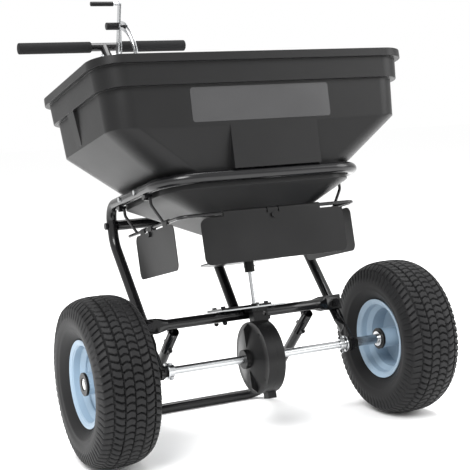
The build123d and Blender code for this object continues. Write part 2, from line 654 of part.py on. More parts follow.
def pinion():
    """Spur pinion pressed on the upright shaft, with involute flanks."""
    base = PINION_R * cos(radians(20))
    tip, root = PINION_R + 0.85 * MODULE, PINION_R - 1.25 * MODULE
    inv = tan(radians(20)) - radians(20)
    half = (pi * MODULE / 2 - BACKLASH) / 2 / PINION_R + inv

    def flank(r):
        a = acos(min(1.0, base / max(r, base)))
        return half - (tan(a) - a)

    radii = [root, base, (base + PINION_R) / 2, PINION_R, (PINION_R + tip) / 2, tip]
    points = []
    for i in range(PINION_TEETH):
        mid = pi + 2 * pi / PINION_TEETH * i
        for r in radii:
            points.append((r * cos(mid - flank(r)), r * sin(mid - flank(r))))
        for r in reversed(radii):
            points.append((r * cos(mid + flank(r)), r * sin(mid + flank(r))))
    z0 = GEAR_R - GEAR_FACE / 2
    body = extrude(Plane(origin=(SHAFT_X, 0, z0)) * make_face(Polyline(*points, close=True)), GEAR_FACE)
    body += rod(vec(SHAFT_X, 0, z0 + GEAR_FACE), vec(SHAFT_X, 0, z0 + GEAR_FACE + 8), SHAFT_D + 5)
    return body - rod(vec(SHAFT_X, 0, z0 - 1), vec(SHAFT_X, 0, z0 + 30), SHAFT_D)


def box_posts(d):
    return [rod_x(BOX_LEFT, BOX_RIGHT, d, 0, y, z) for y, z in POSTS]


def box_fins():
    """Upright fins on the coned left face, above and below the hub."""
    fins = []
    for end in (-1, 1):
        outline = [vec(BOX_LEFT + 1, 0, end * 12), vec(BOX_CONE_X, 0, end * 12),
                   vec(BOX_CONE_X, 0, end * (BOX_R - 14)), vec(BOX_LEFT + 1, 0, end * (BOX_R - 2))]
        fins.append(extrude(make_face(Polyline(*outline, close=True)), 2, both=True))
    return fins


def box_shell(left):
    """One half of the gearbox: a shallow drum that carries the axle and the upright shaft."""
    x0, x1 = (BOX_LEFT, BOX_SPLIT) if left else (BOX_SPLIT, BOX_RIGHT)
    body = rod_x(x0, x1, 2 * BOX_R)
    body += block(max(x0, SHAFT_X - 11), min(x1, SHAFT_X + 11), -11, 11, BOX_R - 8, PLATE_Z)
    body += block(max(x0, SHAFT_X - 16), min(x1, SHAFT_X + 14), -19, 19, PLATE_Z - 7, PLATE_Z)
    if left:
        cone = [vec(x0 + 1, 0, 0), vec(x0 + 1, 0, BOX_R - 4), vec(BOX_CONE_X, 0, BOX_BOSS_D / 2 + 2),
                vec(BOX_CONE_X, 0, 0)]
        body += revolve(make_face(Polyline(*cone, close=True)), axis=Axis.X)
        body += rod_x(BOX_BOSS_X, x0, BOX_BOSS_D)
        for fin in box_fins():
            body += fin
    else:
        body += rod_x(x1, x1 + 6, BOX_BOSS_D - 6)
        body += block(x0, x1, -11, 11, -BOX_R - 12, -BOX_R + 8)
        body += block(SHAFT_X + 8, SHAFT_X + 26, -3.5, 3.5, BOX_R - 4, PLATE_Z)
        body -= rod(vec(SHAFT_X + 18, -9, BOX_R + 13), vec(SHAFT_X + 18, 9, BOX_R + 13), 9)
    inner = rod_x(max(x0, BOX_LEFT + BOX_WALL), min(x1, BOX_RIGHT - BOX_WALL), 2 * (BOX_R - BOX_WALL))
    if not left:
        inner -= block(SHAFT_X - 7.5, BOX_RIGHT, -9, 9, SHAFT_LOW, GEAR_R - GEAR_FACE / 2 - 3)
    for post in box_posts(9):
        inner -= post
    body -= inner
    for screw in box_posts(4 + HOLE_GAP):
        body -= screw
    body -= rod_x(BOX_BOSS_X - 1, BOX_RIGHT + 8, AXLE_D + 2 * RUN_GAP)
    body -= rod(vec(SHAFT_X, 0, 12), vec(SHAFT_X, 0, 110), SHAFT_D + 2 * RUN_GAP)
    body -= rod(vec(SHAFT_X, 0, GEAR_R - 5), vec(SHAFT_X, 0, BOX_R - 1), SHAFT_D + 8)
    for y in (-NECK_SCREW_Y, NECK_SCREW_Y):
        body -= hole(vec(SHAFT_X, y, PLATE_Z - 14), vec(SHAFT_X, y, PLATE_Z + 1), 4)
    return body


def impeller():
    """Spinner: a flat disc with upright vanes and a hub pinned to the shaft."""
    c = vec(SHAFT_X, 0, IMPELLER_Z)
    body = rod(c, c + vec(0, 0, IMPELLER_T), 2 * IMPELLER_R)
    body += rod(vec(SHAFT_X, 0, IMPELLER_Z - 24), vec(SHAFT_X, 0, IMPELLER_Z + 8), SHAFT_D + 11)
    r0 = SHAFT_D / 2 + 4
    for i in range(VANES):
        vane = block(SHAFT_X + r0, SHAFT_X + IMPELLER_R - 1, -1.5, 1.5, IMPELLER_Z, IMPELLER_Z + VANE_H)
        heel = block(SHAFT_X + IMPELLER_R - 16, SHAFT_X + IMPELLER_R - 1, -1.5, 9, IMPELLER_Z, IMPELLER_Z + VANE_H)
        turn = Pos(SHAFT_X, 0, 0) * Rot(Z=360 / VANES * i + 28) * Pos(-SHAFT_X, 0, 0)
        body += turn * (vane + heel)
    body -= rod(vec(SHAFT_X, 0, 100), vec(SHAFT_X, 0, 260), SHAFT_D)
    return body - impeller_pin(IMPELLER_PIN_D)


def impeller_pin(d):
    z = IMPELLER_Z - 12
    return rod(vec(SHAFT_X - 13, 0, z), vec(SHAFT_X + 13, 0, z), d)


def upright_shaft():
    body = rod(vec(SHAFT_X, 0, SHAFT_LOW + 1), vec(SHAFT_X, 0, SHAFT_TOP), SHAFT_D)
    body -= impeller_pin(IMPELLER_PIN_D)
    z = SHAFT_TOP - 8
    return body - rod(vec(SHAFT_X, -20, z), vec(SHAFT_X, 20, z), 5)


def agitator():
    """Bent pin through the top of the shaft that stirs the hopper's outlet."""
    z = SHAFT_TOP - 8
    x = SHAFT_X
    points = [vec(x, -34, z - 8), vec(x, -22, z), vec(x, 22, z), vec(x, 34, z - 8)]
    return tube(points, [8, 8], 5, None)


def shaft_plate():
    body = block(-PLATE_HALF_X, PLATE_HALF_X, PLATE_FRONT, PLATE_REAR, PLATE_Z, FOOT_Z)
    body -= rod(vec(SHAFT_X, 0, PLATE_Z - 5), vec(SHAFT_X, 0, FOOT_Z + 5), SHAFT_D + 5)
    for x, y in PLATE_BOLTS:
        body -= hole(vec(x, y, PLATE_Z - 5), vec(x, y, FOOT_Z + 5), SMALL_BOLT_D)
    for y in (-NECK_SCREW_Y, NECK_SCREW_Y):
        body -= hole(vec(SHAFT_X, y, PLATE_Z - 5), vec(SHAFT_X, y, FOOT_Z + 5), 4)
    return body


def plate_bush():
    z0 = PLATE_Z
    body = rod(vec(SHAFT_X, 0, z0), vec(SHAFT_X, 0, FOOT_Z + 6), SHAFT_D + 5)
    body += rod(vec(SHAFT_X, 0, FOOT_Z), vec(SHAFT_X, 0, FOOT_Z + 3), SHAFT_D + 9)
    return body - rod(vec(SHAFT_X, 0, z0 - 1), vec(SHAFT_X, 0, FOOT_Z + 9), SHAFT_D + 2 * RUN_GAP)


# ---------------------------------------------------------------- handle
def brace_bolt_hole():
    return hole(BRACE - BRACE_OUT * 30, BRACE + BRACE_OUT * 50, SMALL_BOLT_D)


def join_bolt_hole(at):
    p = STEM_LOW + STEM_MID_DIR * at
    return hole(at_x(p, -20), at_x(p, 20), SMALL_BOLT_D)


def lower_stem():
    """Lower stem welded to its foot plate, bent behind the brace, with a spigot on top."""
    join = STEM_LOW + STEM_MID_DIR * JOIN_AT
    body = tube([STEM_FOOT, STEM_LOW, join], [STEM_BEND_R])
    body += rod(join - STEM_MID_DIR * 6, join, TUBE_D - 1, SPIGOT_D - 2 * TUBE_WALL)
    body += rod(join - STEM_MID_DIR, join + STEM_MID_DIR * JOIN_LAP, SPIGOT_D, SPIGOT_D - 2 * TUBE_WALL)
    body -= block(-30, 30, STEM_FOOT_Y - 40, STEM_FOOT_Y + 40, FOOT_Z - 20, FOOT_Z)
    slab = block(-FOOT_HALF_X, FOOT_HALF_X, FOOT_FRONT, STEM_FOOT_Y + 16, FOOT_Z, FOOT_Z + FOOT_T)
    body += fillet(slab.edges().filter_by(Axis.Z), 6)
    for x, y in PLATE_BOLTS:
        body -= hole(vec(x, y, FOOT_Z - 5), vec(x, y, FOOT_Z + 15), SMALL_BOLT_D)
    for at in JOIN_BOLTS:
        body -= join_bolt_hole(at)
    return body - brace_bolt_hole()


def handle_tee():
    """Upper stem pushed over the lower one, with the cross handle welded to its top."""
    join = STEM_LOW + STEM_MID_DIR * JOIN_AT
    body = tube([join, STEM_HIGH, BAR_CENTRE], [STEM_TOP_R])
    body += rod_x(-BAR_LEN / 2, BAR_LEN / 2, TUBE_D, 0, BAR_Y, BAR_UP)
    body -= rod_x(-BAR_LEN / 2 - 1, BAR_LEN / 2 + 1, TUBE_D - 2 * TUBE_WALL, 0, BAR_Y, BAR_UP)
    for at in JOIN_BOLTS:
        body -= join_bolt_hole(at)
    for p in STRAP_BOLTS:
        body -= hole(at_x(p, -20), at_x(p, 20), SMALL_BOLT_D)
    return body


def grip(side):
    end = side * (BAR_LEN / 2 + GRIP_END)
    body = rod_x(end, end - side * GRIP_LEN, GRIP_D, 0, BAR_Y, BAR_UP)
    body = fillet(body.edges().filter_by(GeomType.CIRCLE), 2.5)
    return body - rod_x(side * BAR_LEN / 2, end - side * (GRIP_LEN + 1), TUBE_D + HOLE_GAP, 0, BAR_Y, BAR_UP)


# ---------------------------------------------------------------- flow lever
def polar(r, angle):
    """Point around the lever pivot; the angle is measured up from straight ahead."""
    return vec(0, PIVOT_Y - r * cos(radians(angle)), PIVOT_Z + r * sin(radians(angle)))


def strip(a, b, width, x, thick):
    """Flat strip with round ends from a to b, centred on the plane x."""
    mid = (a + b) * 0.5
    along = at_x(b - a, 0)
    plane = Plane(origin=at_x(mid, x - thick / 2), x_dir=along.normalized(), z_dir=(1, 0, 0))
    return extrude(plane * SlotCenterToCenter(along.length, width), thick)


def sector(r, a0, a1):
    """Pie slice of radius r from a0 to a1 degrees."""
    first, mid, last = [(r * cos(radians(a)), r * sin(radians(a))) for a in (a0, (a0 + a1) / 2, a1)]
    return make_face(Line((0, 0), first) + ThreePointArc(first, mid, last) + Line(last, (0, 0)))


def flow_lever():
    """Flat lever with a hand bar at the top and a crank pin below the pivot."""
    top = polar(LEVER_LEN, LEVER_REST)
    body = strip(PIVOT, top, LEVER_W, LEVER_X, LEVER_T)
    body += strip(PIVOT, CRANK_PIN, LEVER_W, LEVER_X, LEVER_T)
    body += rod_x(LEVER_X, LEVER_X - 76, 8, 0, top.Y, top.Z)
    body += rod_x(LEVER_X, ROD_X + EYE_T / 2 + 2.1, CRANK_PIN_D, 0, CRANK_PIN.Y, CRANK_PIN.Z)
    body -= rod(at_x(PIVOT, 0), at_x(PIVOT, 60), BOLT_D + 2 * RUN_GAP)
    return body - rod(at_x(KNOB_AT, 0), at_x(KNOB_AT, 60), SMALL_BOLT_D + 2 * RUN_GAP)


def lever_grip():
    top = polar(LEVER_LEN, LEVER_REST)
    body = rod_x(LEVER_X - 17, LEVER_X - 78, 12, 0, top.Y, top.Z)
    body = fillet(body.edges().filter_by(GeomType.CIRCLE), 2)
    return body - rod_x(LEVER_X - 16, LEVER_X - 76, 8, 0, top.Y, top.Z)


def flow_quadrant():
    """Plated quadrant with an arc slot and two straps bolted beside the stem."""
    x, t = QUADRANT_X, QUADRANT_T
    plane = Plane(origin=(x - t / 2, PIVOT_Y, PIVOT_Z), x_dir=(0, -1, 0), z_dir=(-1, 0, 0))
    half = QUADRANT_W / 2
    a0, a1 = QUADRANT_FROM, QUADRANT_TO
    band = sector(QUADRANT_R + half, a0, a1) - sector(QUADRANT_R - half, a0 - 9, a1 + 9)
    slot_half = SMALL_BOLT_D / 2 + TOUCH
    slot = sector(QUADRANT_R + slot_half, a0 + 7, a1 - 7) - sector(QUADRANT_R - slot_half, a0, a1)
    body = extrude(plane * (band - slot), -t)
    for angle in (a0 + 3, a1 - 3):
        body += strip(PIVOT, polar(QUADRANT_R - half + 2, angle), 9, x, t)
    for p in STRAP_BOLTS:
        body += strip(PIVOT, p, 20, x, t)
    for p in STRAP_BOLTS:
        body -= hole(at_x(p, 0), at_x(p, 60), SMALL_BOLT_D)
    return body - hole(at_x(PIVOT, 0), at_x(PIVOT, 60), BOLT_D)


def quadrant_spacers():
    """Spacers that hold the quadrant off the stem, and one on the pivot bolt."""
    inner = QUADRANT_X - QUADRANT_T / 2
    solids = [rod_x(TUBE_D / 2 - 0.4, inner, 12, SMALL_BOLT_D + HOLE_GAP, p.Y, p.Z) for p in STRAP_BOLTS]
    for i, p in enumerate(STRAP_BOLTS):
        solids[i] -= rod(p - STEM_TOP_DIR * 20, p + STEM_TOP_DIR * 20, TUBE_D)
    solids.append(rod_x(LEVER_X + LEVER_T / 2 + TOUCH, inner, 15, BOLT_D + HOLE_GAP, PIVOT_Y, PIVOT_Z))
    return solids


def lock_knob():
    """Thumb knob on the lever; its screw runs in the quadrant's slot."""
    near = LEVER_X - LEVER_T / 2 - TOUCH
    y, z = KNOB_AT.Y, KNOB_AT.Z
    body = rod_x(near, near - KNOB_LEN, KNOB_D, 0, y, z)
    body = fillet(body.edges().filter_by(GeomType.CIRCLE), 1.5)
    for i in range(10):
        a = radians(36 * i)
        r = KNOB_D / 2 + 0.6
        body -= rod_x(near + 1, near - KNOB_LEN - 1, 3, 0, y + r * cos(a), z + r * sin(a))
    return body + rod_x(near - 1, QUADRANT_X + QUADRANT_T / 2 + 7, SMALL_BOLT_D, 0, y, z)


def lock_washer():
    x = QUADRANT_X + QUADRANT_T / 2 + TOUCH
    return rod_x(x, x + 5, 14, SMALL_BOLT_D, KNOB_AT.Y, KNOB_AT.Z)


def control_rod():
    """Round rod with an eye on the gate's pin and a slotted eye over the crank pin."""
    low, high = at_x(LUG, ROD_X), at_x(CRANK_PIN, ROD_X)
    along = (high - low).normalized()
    across = vec(0, -along.Z, along.Y)
    body = rod(low + along * 5, high - along * 9, ROD_D)
    body += rod_x(ROD_X - EYE_T / 2, ROD_X + EYE_T / 2, EYE_D, 0, low.Y, low.Z)
    body += strip(high - along * 10, high + along * 1.5, EYE_D + 3, ROD_X, EYE_T)
    body -= rod_x(ROD_X - 5, ROD_X + 5, GATE_PIN_D + 2 * RUN_GAP, 0, low.Y, low.Z)
    return body - strip(high - across * 1.6, high + across * 1.6, CRANK_PIN_D + 2 * TOUCH, ROD_X, 2 * EYE_T)


def crank_clip():
    x = ROD_X + EYE_T / 2 + 0.5
    return rod_x(x, x + 1.2, 14, CRANK_PIN_D, CRANK_PIN.Y, CRANK_PIN.Z)


# ---------------------------------------------------------------- deflectors
def deflector_wire():
    """Bent rod that carries the deflectors, welded to four hangers under the frame."""
    points = [vec(-SIDE_X, WIRE_REAR_Y, WIRE_Z), vec(-SIDE_X, FRONT_WIRE_Y, WIRE_Z),
              vec(SIDE_X, FRONT_WIRE_Y, WIRE_Z), vec(SIDE_X, WIRE_REAR_Y, WIRE_Z)]
    body = tube(points, [20, 20], WIRE_D, None)
    for side in (-1, 1):
        for y in HANGER_YS:
            x = side * LEG_X
            low = vec(side * SIDE_X, y - HANGER_SET, WIRE_Z)
            mid = vec(x - side * 4, y - HANGER_SET, WIRE_Z + 38)
            body += tube([low, mid, vec(mid.X, mid.Y, TUBE_UNDER - 3)], [14], WIRE_D - 1, None)
            body += rod(vec(x, y, TUBE_UNDER - 6), vec(x, y, TUBE_UNDER), 16)
            body += block(x - 8, x + 8, y - HANGER_SET - 3, y, TUBE_UNDER - 6, TUBE_UNDER)
            body -= hole(vec(side * LEG_X, y, TUBE_UNDER - 12), vec(side * LEG_X, y, TUBE_UNDER + 3), SMALL_BOLT_D)
    return body


def deflector(mid, along, out, half, clamp_at, hems):
    """Sheet-steel deflector rolled over the wire at its hems and at one bolted clamp."""
    plane = Plane(origin=mid, x_dir=along, z_dir=out)
    r_in = WIRE_D / 2 + 2 * RUN_GAP
    r_out = r_in + SHEET_T
    top = -WIRE_D
    sheet = Pos(0, top - DROP / 2) * RectangleRounded(2 * half, DROP, 14)
    sheet += Pos(0, top - DROP / 4 - 6) * Rectangle(2 * half, DROP / 2 - 12)
    hooks = [(clamp_at, HOOK_W)] + hems
    for h, w in hooks:
        sheet += Pos(h, top) * Rectangle(w, -2 * top)
    body = plane * extrude(Pos(0, 0, r_in) * sheet, SHEET_T)
    for h, w in hooks:
        start = mid + along * (h - w / 2)
        loop = rod(start, start + along * w, 2 * r_out, 2 * r_in)
        body += loop - plane * Pos(h, -r_out, -r_out) * Box(w + 2, 2 * r_out, 2 * r_out)
    leg = Pos(clamp_at, -10, -r_in - SHEET_T / 2) * Box(HOOK_W, 20, SHEET_T)
    body += plane * leg
    seat = clamp_seat(mid, along, out, clamp_at)
    return body - hole(seat - out * 20, seat + out * 20, CLAMP_BOLT_D)


def clamp_seat(mid, along, out, clamp_at):
    up = out.cross(along)
    return mid + along * clamp_at - up * CLAMP_DROP + out * CLAMP_OUT


def clamp_bolt(mid, along, out, clamp_at):
    return bolt(clamp_seat(mid, along, out, clamp_at), out, CLAMP_BOLT_D, 2 * CLAMP_OUT)


# ---------------------------------------------------------------- fasteners
def crossbar_bolts():
    half = BAR_OFFSET + FLAT_T / 2
    seats = [vec(side * LEG_X, BAR_Y_AT_LEG + half, BAR_Z) for side in (-1, 1)]
    return [s for seat in seats for s in bolt(seat, vec(0, 1, 0), BOLT_D, 2 * half)]


def brace_bolts():
    solids = []
    for side in (-1, 1):
        seat = vec(side * (LEG_X + TUBE_D / 2), BRACE.Y, BRACE.Z)
        solids += bolt(seat, vec(side, 0, 0), BOLT_D, TUBE_D + 20, nut=False)
    solids += bolt(BRACE + BRACE_OUT * (1.5 * TUBE_D + TOUCH), BRACE_OUT, SMALL_BOLT_D, 2 * TUBE_D + TOUCH)
    return solids


def stand_bolts():
    solids = []
    for end in (-1, 1):
        seat = stand_point(STAND_BOLT_AT, end) + STAND_UP * (TUBE_D / 2)
        solids += bolt(seat, STAND_UP, SMALL_BOLT_D, TUBE_D)
    return solids


def plate_bolts():
    solids = []
    for x, y in PLATE_BOLTS:
        seat = vec(x, y, FOOT_Z + FOOT_T)
        solids += bolt(seat, vec(0, 0, 1), SMALL_BOLT_D, FOOT_T + PLATE_T + TUBE_D - SEAT_CUT)
    return solids


def gearbox_screws():
    solids = []
    for y, z in POSTS:
        solids += bolt(vec(BOX_RIGHT, y, z), vec(1, 0, 0), 4, BOX_RIGHT - BOX_LEFT - 4, nut=False)
    for y in (-NECK_SCREW_Y, NECK_SCREW_Y):
        solids += bolt(vec(SHAFT_X, y, FOOT_Z), vec(0, 0, 1), 4, PLATE_T + 7, nut=False)
    return solids


def hopper_bolts():
    solids = []
    for side in (-1, 1):
        for y in HOPPER_BOLT_YS:
            seat = vec(side * (LEG_X + TUBE_D / 2), y, TOP_Z)
            solids += bolt(seat, vec(side, 0, 0), SMALL_BOLT_D, TUBE_D + TOUCH + WALL)
    return solids


def guide_bolts():
    seats = [vec(x, y, OUTLET_Z - WALL - GUIDE_T) for x, y in GUIDE_BOLTS]
    return [s for seat in seats for s in bolt(seat, vec(0, 0, -1), 5, GUIDE_T + WALL)]


def hanger_bolts():
    solids = []
    for side in (-1, 1):
        for y in HANGER_YS:
            seat = vec(side * LEG_X, y, TUBE_UNDER - 6)
            solids += bolt(seat, vec(0, 0, -1), SMALL_BOLT_D, TUBE_D + 6, nut=False)
    return solids


def handle_bolts():
    solids = []
    for at in JOIN_BOLTS:
        p = at_x(STEM_LOW + STEM_MID_DIR * at, TUBE_D / 2)
        solids += bolt(p, vec(1, 0, 0), SMALL_BOLT_D, TUBE_D)
    for p in STRAP_BOLTS:
        seat = at_x(p, QUADRANT_X + QUADRANT_T / 2)
        solids += bolt(seat, vec(1, 0, 0), SMALL_BOLT_D, seat.X + TUBE_D / 2)
    return solids


def pivot_bolt():
    seat = at_x(PIVOT, QUADRANT_X + QUADRANT_T / 2)
    return bolt(seat, vec(1, 0, 0), BOLT_D, seat.X - LEVER_X + LEVER_T / 2 + TOUCH)


def collar_bolts():
    solids = []
    for side in (-1, 1):
        x = side * COLLAR_X
        seat = vec(x, 0, AXLE_D / 2 + 4)
        solids += bolt(seat, vec(0, 0, 1), SMALL_BOLT_D, AXLE_D + 8)
    return solids


# ---------------------------------------------------------------- assembly
RIGHT = (vec(SIDE_X, SIDE_MID_Y, WIRE_Z), vec(0, 1, 0), vec(1, 0, 0))
LEFT = (vec(-SIDE_X, SIDE_MID_Y, WIRE_Z), vec(0, -1, 0), vec(-1, 0, 0))
FRONT = (vec(0, FRONT_WIRE_Y, WIRE_Z), vec(1, 0, 0), vec(0, -1, 0))
SIDE_HALF = (SIDE_REAR_Y - SIDE_FRONT_Y) / 2
SIDE_HEMS = [(-HOOK_AT, HOOK_W), (HOOK_AT, HOOK_W)]
FRONT_HEMS = [(-HEM_AT, HEM_W), (HEM_AT, HEM_W)]

nodes = {
    "tyre_left": tyre(-1),
    "tyre_right": tyre(1),
    "rim_left": rim(-1),
    "rim_right": rim(1),
    "valve_left": valve(-1),
    "valve_right": valve(1),
    "hub_bushes_left": [hub_bush(-1, -1), hub_bush(-1, 1)],
    "hub_bushes_right": [hub_bush(1, -1), hub_bush(1, 1)],
    "axle": axle(),
    "axle_end_rings": [retaining_ring(-1), retaining_ring(1)],
    "axle_collars": [axle_collar(-1), axle_collar(1)],
    "axle_collar_bolts": collar_bolts(),
    "axle_washers": [axle_washer(-1), axle_washer(1)] + [wheel_washer(s) for s in (-1, 1)],
    "wheel_spacers": [wheel_spacer(-1), wheel_spacer(1)],
    "leg_bushes": [leg_bush(-1), leg_bush(1)],
    "wheel_drive_pin": rod(vec(-WHEEL_X, 0, -HUB_R - 2), vec(-WHEEL_X, 0, HUB_R + 2), PIN_D),
    "main_frame": main_frame(),
    "rear_brace": rear_brace(),
    "crossbar_front": crossbar(-1),
    "crossbar_rear": crossbar(1),
    "parking_stand": stand(),
    "crossbar_bolts": crossbar_bolts(),
    "brace_bolts": brace_bolts(),
    "stand_bolts": stand_bolts(),
    "shaft_plate": shaft_plate(),
    "shaft_plate_bush": plate_bush(),
    "plate_bolts": plate_bolts(),
    "gearbox_left": box_shell(True),
    "gearbox_right": box_shell(False),
    "gearbox_screws": gearbox_screws(),
    "crown_gear": crown_gear(),
    "crown_gear_pin": rod(vec(GEAR_PIN_X, 0, -14.5), vec(GEAR_PIN_X, 0, 14.5), PIN_D),
    "pinion": pinion(),
    "impeller_shaft": upright_shaft(),
    "impeller": impeller(),
    "impeller_pin": impeller_pin(IMPELLER_PIN_D),
    "agitator": agitator(),
    "hopper": hopper(),
    "hopper_bolts": hopper_bolts(),
    "gate_guide": gate_guide(),
    "guide_bolts": guide_bolts(),
    "flow_gate": flow_gate(),
    "control_rod": control_rod(),
    "lower_stem": lower_stem(),
    "handle_tee": handle_tee(),
    "handle_bolts": handle_bolts(),
    "handle_grip_left": grip(-1),
    "handle_grip_right": grip(1),
    "flow_quadrant": flow_quadrant(),
    "quadrant_spacers": quadrant_spacers(),
    "pivot_bolt": pivot_bolt(),
    "flow_lever": flow_lever(),
    "lever_grip": lever_grip(),
    "crank_clip": crank_clip(),
    "lock_knob": [lock_knob(), lock_washer()],
    "deflector_wire": [deflector_wire()] + hanger_bolts(),
    "front_deflector": [deflector(*FRONT, FRONT_HALF, 0, FRONT_HEMS)] + clamp_bolt(*FRONT, 0),
    "side_deflector_left": [deflector(*LEFT, SIDE_HALF, -CLAMP_AT, SIDE_HEMS)] + clamp_bolt(*LEFT, -CLAMP_AT),
    "side_deflector_right": [deflector(*RIGHT, SIDE_HALF, CLAMP_AT, SIDE_HEMS)] + clamp_bolt(*RIGHT, CLAMP_AT),
}

groups = {name: Compound(shapes if isinstance(shapes, list) else [shapes]) for name, shapes in nodes.items()}
tipped = Rot(X=-TILT)
extent = (tipped * Compound(list(groups.values()))).bounding_box()
placed = Pos(0, -(extent.min.Y + extent.max.Y) / 2, WHEEL_R) * tipped

for name, group in groups.items():
    export_step(placed * group, "parts/" + name + ".step")
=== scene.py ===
import bpy
import json
from math import cos, pi, radians, sin
from mathutils import Matrix, Vector


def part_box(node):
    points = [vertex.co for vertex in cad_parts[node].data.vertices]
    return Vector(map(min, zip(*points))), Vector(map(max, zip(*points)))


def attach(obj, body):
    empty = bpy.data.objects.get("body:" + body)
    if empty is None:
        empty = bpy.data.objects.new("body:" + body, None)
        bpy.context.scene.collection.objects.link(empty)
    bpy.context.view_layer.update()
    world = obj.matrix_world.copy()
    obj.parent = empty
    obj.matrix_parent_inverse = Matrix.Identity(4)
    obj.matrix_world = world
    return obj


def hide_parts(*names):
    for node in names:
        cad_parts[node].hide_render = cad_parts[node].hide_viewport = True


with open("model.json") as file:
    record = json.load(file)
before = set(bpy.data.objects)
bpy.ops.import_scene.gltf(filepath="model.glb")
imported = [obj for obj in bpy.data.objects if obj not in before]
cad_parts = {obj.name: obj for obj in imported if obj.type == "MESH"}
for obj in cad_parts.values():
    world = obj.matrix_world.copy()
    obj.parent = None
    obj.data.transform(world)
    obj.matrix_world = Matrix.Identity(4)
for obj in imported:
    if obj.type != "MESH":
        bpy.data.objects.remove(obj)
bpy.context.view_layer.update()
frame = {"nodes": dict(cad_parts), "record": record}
nodes = frame["nodes"]

# ---------------------------------------------------------------- sizes (metres)
# The machine's own frame runs along the axle and square to the hopper's rim. It leans
# back on the stand, so points given in it are turned about the axle.
AXLE_LOW, AXLE_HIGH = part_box("axle")
AXLE = (AXLE_LOW + AXLE_HIGH) / 2
LEAN = radians(11.396)
WHEEL_X = 0.333
WHEEL_R = 0.165
TREAD_HALF = 0.055
CROWN_DROP = 0.014
CROWN_STEPS = 72
PITCHES = 70
STEPS_PER_PITCH = 10
GROOVE = 0.0042
CROSS_GROOVE = (0.12, 0.26, 0.08)
SHOULDER_NOTCH = 0.0016
SHOULDER_GROOVE = (0.12, 0.3, 0.08)
LABEL_X = (-0.155, 0.145)
LABEL_Z = (0.4585, 0.5245)
LABEL_CORNER = 0.006
LABEL_THICK = 0.0006
TIER_FRONT_Y = -0.176
TIER_LOW_Z = 0.456
TIER_SLOPE = 0.005 / 0.077
FLOOR_HALF = 30


def from_machine(x, y, z):
    turned = Matrix.Rotation(-LEAN, 3, "X") @ Vector((x, y, z))
    return AXLE + turned


# ---------------------------------------------------------------- materials
GLOSS_SPREAD = 0.08


def material(name, colour, rough, metal=0.0, grain=300.0, bump=0.15, mottle=0.12, coat=0.0, spec=0.5):
    """Painted, plated or moulded surface: mottled colour, uneven gloss and a fine relief."""
    mat = bpy.data.materials.new(name)
    mat.use_nodes = True
    tree = mat.node_tree
    shader = tree.nodes["Principled BSDF"]
    shader.inputs["Metallic"].default_value = metal
    shader.inputs["Coat Weight"].default_value = coat
    shader.inputs["Coat Roughness"].default_value = 0.12
    shader.inputs["Specular IOR Level"].default_value = spec
    place = tree.nodes.new("ShaderNodeTexCoord")
    broad = noise(tree, place, 9.0, 4)
    fine = noise(tree, place, grain, 3)
    ramp = tree.nodes.new("ShaderNodeValToRGB")
    ramp.color_ramp.elements[0].position = 0.3
    ramp.color_ramp.elements[1].position = 0.7
    ramp.color_ramp.elements[0].color = [c * (1 - mottle) for c in colour] + [1]
    ramp.color_ramp.elements[1].color = [min(1, c * (1 + mottle)) for c in colour] + [1]
    tree.links.new(broad.outputs["Fac"], ramp.inputs["Fac"])
    tree.links.new(ramp.outputs["Color"], shader.inputs["Base Color"])
    spread = tree.nodes.new("ShaderNodeMapRange")
    spread.inputs["To Min"].default_value = max(0.02, rough - GLOSS_SPREAD)
    spread.inputs["To Max"].default_value = min(1.0, rough + GLOSS_SPREAD)
    tree.links.new(broad.outputs["Fac"], spread.inputs["Value"])
    tree.links.new(spread.outputs["Result"], shader.inputs["Roughness"])
    relief = tree.nodes.new("ShaderNodeBump")
    relief.inputs["Strength"].default_value = bump
    relief.inputs["Distance"].default_value = 0.0006
    tree.links.new(fine.outputs["Fac"], relief.inputs["Height"])
    tree.links.new(relief.outputs["Normal"], shader.inputs["Normal"])
    return mat


def noise(tree, place, scale, detail):
    node = tree.nodes.new("ShaderNodeTexNoise")
    node.inputs["Scale"].default_value = scale
    node.inputs["Detail"].default_value = detail
    tree.links.new(place.outputs["Object"], node.inputs["Vector"])
    return node


LOOKS = {
    "tyre_rubber": dict(colour=(0.008, 0.008, 0.0085), rough=0.55, grain=700, bump=0.25, mottle=0.25, spec=0.2),
    "rim_paint": dict(colour=(0.25, 0.335, 0.42), rough=0.3, grain=500, bump=0.05, mottle=0.04, spec=0.3),
    "frame_paint": dict(colour=(0.004, 0.004, 0.0045), rough=0.2, grain=260, bump=0.05, mottle=0.2, spec=0.4),
    "sheet_paint": dict(colour=(0.006, 0.006, 0.0062), rough=0.36, bump=0.06, mottle=0.2, spec=0.2),
    "zinc": dict(colour=(0.52, 0.53, 0.54), rough=0.25, metal=1.0, grain=420, bump=0.08, mottle=0.08),
    "black_steel": dict(colour=(0.02, 0.02, 0.022), rough=0.34, metal=0.7, grain=420, bump=0.1, mottle=0.2),
    "hopper_plastic": dict(colour=(0.007, 0.007, 0.0072), rough=0.4, grain=900, bump=0.2, mottle=0.06, spec=0.2),
    "black_plastic": dict(colour=(0.005, 0.005, 0.0052), rough=0.34, grain=800, mottle=0.15, spec=0.2),
    "gear_steel": dict(colour=(0.4, 0.4, 0.41), rough=0.35, metal=1.0, grain=350, bump=0.1),
    "foam": dict(colour=(0.01, 0.01, 0.0105), rough=0.92, grain=1400, bump=0.8, mottle=0.15, spec=0.2),
    "label": dict(colour=(0.03, 0.03, 0.031), rough=0.2, grain=150, bump=0.02, mottle=0.05, coat=0.3),
}
FINISH = {name: material(name, **look) for name, look in LOOKS.items()}
SLOT_OF = {s["node"]: s["material_slot"] for s in frame["record"]["subparts"]}


def dress(obj, finish):
    obj.data.materials.clear()
    obj.data.materials.append(FINISH[finish])


